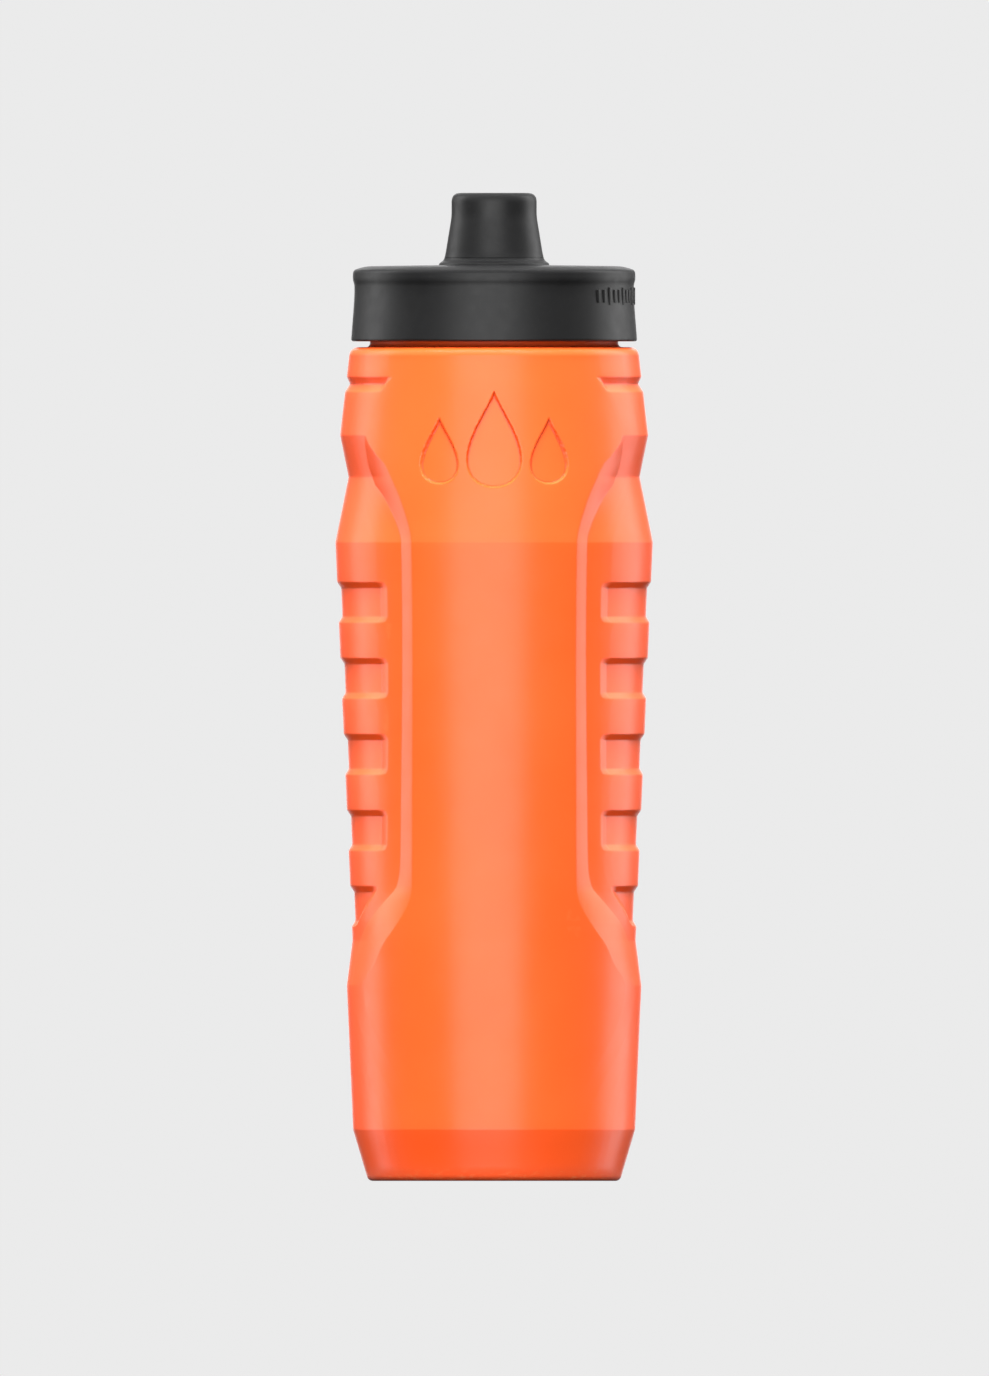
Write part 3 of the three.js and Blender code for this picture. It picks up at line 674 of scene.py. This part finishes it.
# The emblem is three water drops, let into the front: (centre x, centre z, height) of each.
EMBLEM_Z = SHOULDER_Z - 24.3
DROPS = [(0, EMBLEM_Z, 25), (-14.5, EMBLEM_Z - 3, 17), (14.5, EMBLEM_Z - 3, 17)]
DROP_WIDTH = 0.41  # of its height
DROP_POINTS = 160
EMBLEM_DEPTH = 0.75
EMBLEM_WALL = 0.28  # half the width of the emblem's sloping wall
EMBLEM_HALF_WIDTH = 21.5
EMBLEM_HALF_HEIGHT = 14.5


def drop_half_width(height, share):
    """Half the width of a drop, where share runs from -1 at its foot to 1 at its tip."""
    turn = math.acos(min(max(share, -1), 1))
    return DROP_WIDTH * height * math.sin(turn) * math.sin(turn / 2) ** 1.5


def drop_outlines():
    tree = KDTree(len(DROPS) * DROP_POINTS)
    for n, (x, z, height) in enumerate(DROPS):
        for i in range(DROP_POINTS):
            turn = math.tau * i / DROP_POINTS
            side = 1 if turn < math.pi else -1
            half_width = drop_half_width(height, math.cos(turn))
            tree.insert((x + side * half_width, 0, z + height / 2 * math.cos(turn)), n * DROP_POINTS + i)
    tree.balance()
    return tree


def emblem_depth(outlines, x, z):
    distance = outlines.find((x, 0, z))[2]
    inside = False
    for centre, middle, height in DROPS:
        share = (z - middle) / (height / 2)
        inside = inside or (abs(share) < 1 and abs(x - centre) < drop_half_width(height, share))
    signed = distance if inside else -distance
    share = min(max((signed + EMBLEM_WALL) / (2 * EMBLEM_WALL), 0), 1)
    return EMBLEM_DEPTH * share * share * (3 - 2 * share)


def from_front(v):
    """A vertex's angle from the front or back, up to 90 at a side."""
    return math.degrees(math.atan2(abs(v.co.x), abs(v.co.y)))


def in_emblem(v):
    near = abs(v.co.z / MM - EMBLEM_Z) < EMBLEM_HALF_HEIGHT
    return near and v.co.y < 0 and abs(v.co.x) / MM < EMBLEM_HALF_WIDTH


def sink_emblem(bm, outer_wall):
    """Cuts the front's faces finer where the emblem goes, and sinks the drops into them."""
    zone = set(filter(in_emblem, outer_wall))
    edges = list({e for v in zone for e in v.link_edges if e.other_vert(v) in zone})
    bmesh.ops.subdivide_edges(bm, edges=edges, cuts=6, use_grid_fill=True)
    outlines = drop_outlines()
    for v in filter(in_emblem, bm.verts):
        z = v.co.z / MM
        surface = body_radius(from_front(v), z)
        if math.hypot(v.co.x, v.co.y) / MM > surface - BODY_WALL / 2:
            move_out(v, surface - emblem_depth(outlines, v.co.x / MM, z))


# Radii on which the rows of the two walls start, before they are shaped.
OUTER_MARK = 60
INNER_MARK = 50


def body_section():
    """The body's half section, up the outside and down the inside, with the walls' rows on their marks."""
    grip_edges = [HEEL_Z] + [z for z, _ in FLOOR_DEPTHS]
    slot_edges = [
        slot_top - drop for slot_top in SLOT_TOPS
        for drop in (0, SLOT_WALL, SLOT_HEIGHT - SLOT_WALL, SLOT_HEIGHT)
    ]

    def spacing(z):
        return 1.9 if z > BELT_Z or PANEL_BOTTOM_Z < z < BELT_Z - 85 else 3.6

    first_row = 1.5
    last_row = SHOULDER_Z - SHOULDER_ROUND - 0.2
    outer = wall_rows(grip_edges + slot_edges, spacing, False)
    to_shoulder = last_row - outer[-1]
    outer = [first_row, 3.2, 6, 9, *outer, *[last_row - to_shoulder * share for share in (2 / 3, 1 / 3, 0)]]
    inner_edges = [FLOOR_THICKNESS + 2.2, *grip_edges, *slot_edges, SHOULDER_Z - 6]
    inner = wall_rows(inner_edges, lambda z: 5, True)
    inside_top = SHOULDER_Z - 2

    foot = outline(
        [
            (0, PUSH_UP),
            (9, PUSH_UP - 0.1),
            (20, PUSH_UP - 0.4, 4),
            (STANDING_RING, 0, 1.2),
            (BASE_RADIUS, 0, 1.15),
            (BASE_RADIUS + 0.3 * first_row, first_row),
        ],
        closed=False,
    )[:-1]
    shoulder = outline(
        [
            (COLLAR_RADIUS + 0.3, last_row),
            (COLLAR_RADIUS, SHOULDER_Z, SHOULDER_ROUND),
            (BEAD_RADIUS + 0.3, SHOULDER_Z, 0.9),
            (BEAD_RADIUS, NECK_FOOT_Z, 0.4),
            (NECK_RADIUS, NECK_FOOT_Z + 0.3),
        ],
        closed=False,
    )[1:]
    neck_rows = [(NECK_RADIUS, NECK_FOOT_Z + 0.5 + THREAD_ROW * i) for i in range(32)]
    rim = outline(
        [
            neck_rows[-1],
            (NECK_RADIUS, RIM_Z, 0.6),
            (NECK_BORE, RIM_Z, 0.6),
            (NECK_BORE, inside_top, 1.5),
            (COLLAR_RADIUS - 3, inside_top - 1.2, 1),
            (COLLAR_RADIUS - 1.8, inner[-1]),
        ],
        closed=False,
    )[:-1]
    floor = outline(
        [
            (BASE_RADIUS, inner[0]),
            (BASE_RADIUS - 1.5, FLOOR_THICKNESS, 1.5),
            (STANDING_RING + 0.8, FLOOR_THICKNESS, 1.2),
            (20.5, PUSH_UP + FLOOR_THICKNESS - 0.4, 4),
            (0, PUSH_UP + FLOOR_THICKNESS),
        ],
        closed=False,
    )[1:]
    return [
        *foot,
        *[Vector((OUTER_MARK, 0, z)) for z in outer],
        *shoulder,
        *[Vector((r, 0, z)) for r, z in neck_rows[:-1]],
        *rim,
        *[Vector((INNER_MARK, 0, z)) for z in reversed(inner)],
        *floor,
    ]


def set_columns(bm):
    """Moves each column round to its angle at each height, so that columns follow the grips' edges."""
    strips = len(quarter_columns(BELT_Z)) - 1
    columns = {}
    for v in bm.verts:
        radius = math.hypot(v.co.x, v.co.y)
        if radius < 0.01 * MM:
            continue
        if v.co.z not in columns:
            columns[v.co.z] = quarter_columns(v.co.z / MM)
        angles = columns[v.co.z]
        turn = math.degrees(math.atan2(v.co.y, v.co.x)) % 360
        quarter, place = divmod(round(turn / 90 * strips), strips)
        # Even quarters run from a side to the front or back, odd ones from there to a side.
        if quarter % 2 == 0:
            angle = 90 * (quarter + 1) - angles[strips - place]
        else:
            angle = 90 * quarter + angles[place]
        v.co.x = radius * math.cos(math.radians(angle))
        v.co.y = radius * math.sin(math.radians(angle))


def make_body():
    bm = bmesh.new()
    columns = 4 * (len(quarter_columns(BELT_Z)) - 1)
    spin_points(bm, body_section(), False, columns)
    set_columns(bm)
    outer_wall = on_radius(bm, OUTER_MARK)
    for v in on_radius(bm, INNER_MARK):
        move_out(v, body_radius(from_front(v), v.co.z / MM) - BODY_WALL)
    for v in outer_wall:
        move_out(v, body_radius(from_front(v), v.co.z / MM))
    sink_emblem(bm, outer_wall)
    raise_thread(bm, NECK_RADIUS, NECK_FOOT_Z + 0.4, RIM_Z, 0, SHOULDER_Z + THREAD_FROM_SHOULDER, 1)
    bmesh.ops.recalc_face_normals(bm, faces=bm.faces)
    finish_piece("squeeze_body", bm, "bottle_body", ORANGE)


make_body()

# ---- Lid ------------------------------------------------------------------------------------

LID_FOOT_Z = bottom("lid_shell")
LID_TOP_Z = top("lid_shell")
LID_FOOT_RADIUS = reach("lid_shell")
FOOT_FLARE = 0.95
RIM_FLARE = 0.5
RIM_HEIGHT = 4.2
SHELL_TOP = 2.1
SHELL_WALL = 1.95
LINER_TOP = 2
LINER_SKIRT = 1.6
WAIST_RADIUS = LID_FOOT_RADIUS - FOOT_FLARE
RIM_RADIUS = WAIST_RADIUS + RIM_FLARE
SHELL_UNDER_Z = LID_TOP_Z - SHELL_TOP
SHELL_INNER_RADIUS = WAIST_RADIUS - SHELL_WALL
LINER_UNDER_Z = SHELL_UNDER_Z - GAP - LINER_TOP
LINER_RADIUS = SHELL_INNER_RADIUS - GAP - LINER_SKIRT
CHIMNEY_RADIUS = 8
CHIMNEY_WALL = 1.8
CHIMNEY_HOLE = CHIMNEY_RADIUS + GAP
COVER_FOOT_RADIUS = reach("nozzle_cover")
SEAT_RADIUS = COVER_FOOT_RADIUS + GAP
SEAT_Z = bottom("nozzle_cover") - GAP
RIB_COUNT = 6
RIB_WIDTH = 3
RIB_HEIGHT = 0.7
RIB_LENGTH = LINER_UNDER_Z - LID_FOOT_Z - 2
RIB_MIDDLE_Z = LINER_UNDER_Z - RIB_LENGTH / 2
TICKS_EACH_SIDE = 11
TICK_PITCH = 3.8  # degrees
TICK_Z = LID_FOOT_Z + 11.9
TICK_WIDTH = 1.05
TICK_THICKNESS = 1.2
TICK_SINK = 0.18  # how far a tick's middle lies inside the waist
TICK_ROUND = 0.16


def make_lid_shell():
    rim_z = LID_TOP_Z - RIM_HEIGHT
    bm = turned(
        [
            (CHIMNEY_HOLE, SHELL_UNDER_Z, 0.3),
            (SHELL_INNER_RADIUS, SHELL_UNDER_Z, 0.4),
            (SHELL_INNER_RADIUS, LID_FOOT_Z, 0.4),
            (LID_FOOT_RADIUS, LID_FOOT_Z, 0.7),
            (WAIST_RADIUS + 0.25, LID_FOOT_Z + 9, 1.5),
            (WAIST_RADIUS, rim_z - 2.4, 1.6),
            (WAIST_RADIUS + 0.1, rim_z - 0.9, 0.5),
            (RIM_RADIUS, rim_z + 0.5, 0.6),
            (RIM_RADIUS - 0.1, LID_TOP_Z - 1.35, 0.8),
            (RIM_RADIUS - 3.3, LID_TOP_Z - 0.3, 1.6),
            (SEAT_RADIUS, LID_TOP_Z, 0.15),
            (SEAT_RADIUS, SEAT_Z, 0.1),
            (CHIMNEY_HOLE, SEAT_Z, 0.2),
        ],
        columns=180,
    )
    slots = bmesh.new()
    cutter_length = 4
    slot_reach = SHELL_INNER_RADIUS + RIB_HEIGHT
    for i in range(RIB_COUNT):
        size = (cutter_length, RIB_WIDTH + 2 * GAP, RIB_LENGTH + 2 * GAP)
        add_block(slots, size, (slot_reach - cutter_length / 2, 0, RIB_MIDDLE_Z), 360 * i / RIB_COUNT)
    bm = cut_by("shell", bm, slots)
    # Raised ticks, every third one longer, stand round the side that faces +X.
    for i in range(-TICKS_EACH_SIDE, TICKS_EACH_SIDE + 1):
        size = (TICK_THICKNESS, TICK_WIDTH, 3.4 if i % 3 else 4.6)
        add_block(bm, size, (WAIST_RADIUS - TICK_SINK, 0, TICK_Z), i * TICK_PITCH, TICK_ROUND)
    finish_piece("lid_shell_skin", bm, "lid_shell", CHARCOAL)


def make_lid_liner():
    lip = NECK_BORE - 0.4
    lip_foot = LINER_UNDER_Z - 3.6
    skirt = LINER_RADIUS + LINER_SKIRT
    skirt_foot = LID_FOOT_Z + 0.4
    liner_top = LINER_UNDER_Z + LINER_TOP
    pin_top = top("lid_liner")
    chimney_top = pin_top - 1.6
    stop_z = LID_TOP_Z + 8.5
    groove_foot = chimney_top - 2
    groove_top = chimney_top - 0.5
    inner = CHIMNEY_RADIUS - CHIMNEY_WALL
    groove = CHIMNEY_RADIUS - 0.75
    stop = CHIMNEY_RADIUS + 0.75
    thread_rows = [(LINER_RADIUS, LINER_UNDER_Z - 0.8 - THREAD_ROW * i) for i in range(39)]
    points = outline(
        [
            (LINER_RADIUS, skirt_foot + 0.2),
            (LINER_RADIUS + 0.2, skirt_foot),
            (skirt, skirt_foot, 0.4),
            (skirt, liner_top, 0.5),
            (CHIMNEY_RADIUS, liner_top, 0.6),
            (CHIMNEY_RADIUS, stop_z, 0.1),
            (stop, stop_z + 0.1, 0.05),
            (stop, stop_z + 0.6, 0.1),
            (CHIMNEY_RADIUS, groove_foot, 0.1),
            (groove, groove_foot, 0.1),
            (groove, groove_top, 0.1),
            (CHIMNEY_RADIUS + 0.3, groove_top, 0.1),
            (CHIMNEY_RADIUS, chimney_top, 0.25),
            (inner, chimney_top, 0.3),
            (inner, LINER_UNDER_Z, 0.4),
            (lip - 1.4, LINER_UNDER_Z, 0.4),
            (lip - 1.4, lip_foot, 0.3),
            (lip - 0.4, lip_foot, 0.2),
            (lip, LINER_UNDER_Z - 2.8, 0.3),
            (lip, LINER_UNDER_Z, 0.2),
            (LINER_RADIUS, LINER_UNDER_Z, 0.2),
            (LINER_RADIUS, LINER_UNDER_Z - 0.7),
        ],
        closed=False,
    )
    points += [Vector((r, 0, z)) for r, z in thread_rows]
    bm = bmesh.new()
    spin_points(bm, points, True, 180)
    # The lid's threads lie half a pitch below the neck's, and start further round.
    first_angle = 80
    first_z = SHOULDER_Z + THREAD_FROM_SHOULDER - THREAD_LEAD / THREAD_STARTS / 2
    first_z += THREAD_LEAD * first_angle / 360
    lowest = thread_rows[-1][1] + 0.1
    raise_thread(bm, LINER_RADIUS, lowest, LINER_UNDER_Z - 0.75, first_angle, first_z, -1)

    neck, head = 2.35, 2.95
    pin = turned(
        [
            (0, LINER_UNDER_Z),
            (neck, LINER_UNDER_Z, 0.3),
            (neck, pin_top - 4.3, 0.4),
            (head, pin_top - 2.9, 0.4),
            (head, pin_top, 0.5),
            (0, pin_top),
        ],
        closed=False,
        columns=64,
    )
    webs = 3
    for i in range(webs):
        add_block(pin, (inner, 1.4, 4), (inner / 2 + 0.5, 0, LINER_UNDER_Z + 2.05), 360 * i / webs, 0.2)
    rib_thickness = 1.5
    for i in range(RIB_COUNT):
        size = (rib_thickness, RIB_WIDTH, RIB_LENGTH)
        place = (skirt + RIB_HEIGHT - rib_thickness / 2, 0, RIB_MIDDLE_Z)
        add_block(bm, size, place, 360 * i / RIB_COUNT, 0.3)
    spare = bpy.data.meshes.new("pin")
    pin.to_mesh(spare)
    pin.free()
    bm.from_mesh(spare)
    bpy.data.meshes.remove(spare)
    finish_piece("threaded_liner", bm, "lid_liner", BLACK)


def make_gasket():
    low, high = bottom("lid_gasket"), top("lid_gasket")
    outer, inner = reach("lid_gasket"), NECK_BORE
    middle = (inner + outer) / 2
    groove = 0.35
    bm = turned(
        [
            (inner, low, 0.3),
            (middle - groove, low, 0.2),
            (middle, low + 0.25, 0.2),
            (middle + groove, low, 0.2),
            (outer, low, 0.3),
            (outer, high, 0.3),
            (inner, high, 0.3),
        ],
        columns=160,
    )
    finish_piece("rim_gasket", bm, "lid_gasket", PALE)


def make_spout_ring():
    centre_z = (bottom("spout_ring") + top("spout_ring")) / 2
    section = (top("spout_ring") - bottom("spout_ring")) / 2
    centre = reach("spout_ring") - section
    bm = bmesh.new()
    place = Matrix.Translation(Vector((centre, 0, centre_z)) * MM)
    place @= Matrix.Rotation(math.radians(90), 4, "X")
    circle = bmesh.ops.create_circle(bm, segments=20, radius=section * MM, matrix=place)["verts"]
    edges = list({e for v in circle for e in v.link_edges})
    bmesh.ops.spin(
        bm, geom=circle + edges, cent=(0, 0, 0), axis=(0, 0, 1), angle=math.tau, steps=96, use_merge=True
    )
    bmesh.ops.recalc_face_normals(bm, faces=bm.faces)
    finish_piece("chimney_seal_ring", bm, "spout_ring", GREY)


make_lid_shell()
make_lid_liner()
make_gasket()
make_spout_ring()

# ---- Nozzle ---------------------------------------------------------------------------------

COVER_Z = bottom("nozzle_cover")
COVER_TOP_Z = top("nozzle_cover")
SLEEVE_Z = bottom("nozzle_sleeve")
CUP_TOP_Z = top("nozzle_sleeve")
BORE_CLEARANCE = 0.95
SLEEVE_WALL = 1.2
CUP_SETBACK = 0.8
TIP_WALL = 1.55
SKIRT_WALL = 2.35
SNAP_HEIGHT = 0.6
BORE_RADIUS = CHIMNEY_RADIUS + BORE_CLEARANCE
SLEEVE_RADIUS = BORE_RADIUS + SLEEVE_WALL
CUP_RADIUS = SLEEVE_RADIUS - CUP_SETBACK
VALVE_RADIUS = reach("jet_valve")
PLATE_TOP_Z = bottom("jet_valve") - GAP
PLATE_Z = PLATE_TOP_Z - SLEEVE_WALL
SNAP_Z = SLEEVE_Z + 1.9
MOUTH_RADIUS = 5.5


def make_nozzle_cover():
    bore = SLEEVE_RADIUS + GAP
    cup = CUP_RADIUS + GAP
    tip = cup + TIP_WALL
    skirt = bore + SKIRT_WALL
    bm = turned(
        [
            (bore, COVER_Z, 0.15),
            (COVER_FOOT_RADIUS, COVER_Z, 0.12),
            (COVER_FOOT_RADIUS - 0.2, COVER_Z + 0.6, 0.25),
            (skirt + 0.45, COVER_Z + 1.35, 0.6),
            (skirt, COVER_Z + 3, 0.9),
            (tip, COVER_TOP_Z - 6.2, 1.2),
            (tip, COVER_TOP_Z, 2.15),
            (MOUTH_RADIUS, COVER_TOP_Z, 0.9),
            (MOUTH_RADIUS, CUP_TOP_Z + GAP, 0.25),
            (cup, CUP_TOP_Z + GAP, 0.3),
            (cup, PLATE_TOP_Z, 0.2),
            (bore, PLATE_Z, 0.2),
            (bore, SNAP_Z + 1.3, 0.1),
            (bore + SNAP_HEIGHT, SNAP_Z + 0.5, 0.2),
            (bore, SNAP_Z - 0.3, 0.1),
        ],
        columns=144,
    )
    finish_piece("soft_mouthpiece", bm, "nozzle_cover", CHARCOAL)


def make_nozzle_sleeve():
    lip = CHIMNEY_RADIUS + 0.2
    cup_inner = CUP_RADIUS - SLEEVE_WALL
    lip_top = SLEEVE_Z + 1.6
    orifice = 3.1
    bm = turned(
        [
            (lip, SLEEVE_Z, 0.15),
            (SLEEVE_RADIUS, SLEEVE_Z, 0.2),
            (SLEEVE_RADIUS, SNAP_Z, 0.1),
            (SLEEVE_RADIUS + SNAP_HEIGHT, SNAP_Z + 0.5, 0.2),
            (SLEEVE_RADIUS, SNAP_Z + 1, 0.1),
            (SLEEVE_RADIUS, PLATE_Z, 0.2),
            (CUP_RADIUS, PLATE_TOP_Z, 0.2),
            (CUP_RADIUS, CUP_TOP_Z, 0.25),
            (cup_inner, CUP_TOP_Z, 0.2),
            (cup_inner, PLATE_TOP_Z, 0.2),
            (orifice, PLATE_TOP_Z, 0.25),
            (orifice, PLATE_Z, 0.25),
            (BORE_RADIUS, PLATE_Z, 0.3),
            (BORE_RADIUS, lip_top, 0.2),
            (lip, lip_top, 0.2),
        ],
        columns=128,
    )
    finish_piece("sliding_sleeve", bm, "nozzle_sleeve", BLACK)


def make_jet_valve():
    low, high = bottom("jet_valve"), top("jet_valve")
    rim = MOUTH_RADIUS - 0.4
    bm = turned(
        [
            (0, low + 0.4),
            (rim - 1, low + 0.8, 0.6),
            (rim, low, 0.3),
            (VALVE_RADIUS, low, 0.3),
            (VALVE_RADIUS, high, 0.3),
            (rim, high, 0.4),
            (0, low + 1.2),
        ],
        closed=False,
        columns=96,
    )
    slit_width, slit_length = 0.3, 6
    slit = bmesh.new()
    add_block(slit, (slit_length, slit_width, slit_length), (0, 0, low + 1))
    add_block(slit, (slit_width, slit_length, slit_length), (0, 0, low + 1))
    finish_piece("cross_slit_valve", cut_by("valve", bm, slit), "jet_valve", PALE)


def make_valve_retainer():
    low, high = bottom("valve_retainer"), top("valve_retainer")
    bm = turned(
        [
            (MOUTH_RADIUS, low, 0.2),
            (VALVE_RADIUS, low, 0.2),
            (VALVE_RADIUS, high, 0.2),
            (MOUTH_RADIUS, high, 0.4),
        ],
        columns=96,
    )
    finish_piece("valve_snap_ring", bm, "valve_retainer", BLACK)


make_nozzle_cover()
make_nozzle_sleeve()
make_jet_valve()
make_valve_retainer()

# ---- Floor ----------------------------------------------------------------------------------

FLOOR_HALF_WIDTH = 1500
SHADE_RADIUS = 41
SHADE_Z = -0.2


def make_floor():
    bm = bmesh.new()
    bmesh.ops.create_grid(bm, x_segments=4, y_segments=4, size=FLOOR_HALF_WIDTH * MM)
    floor = mesh_object("floor", bm)
    floor.data.materials.append(floor_paint())
    floor.visible_diffuse = floor.visible_glossy = floor.visible_shadow = False


def make_contact_shade():
    """A dark disc under the bottle, unseen itself, that keeps the light off the lowest part of the heel."""
    bm = bmesh.new()
    place = Matrix.Translation((0, 0, SHADE_Z * MM))
    bmesh.ops.create_circle(bm, cap_ends=True, segments=96, radius=SHADE_RADIUS * MM, matrix=place)
    shade = mesh_object("contact_shade", bm)
    shade.data.materials.append(GREY)
    shade.visible_camera = False


make_floor()
make_contact_shade()
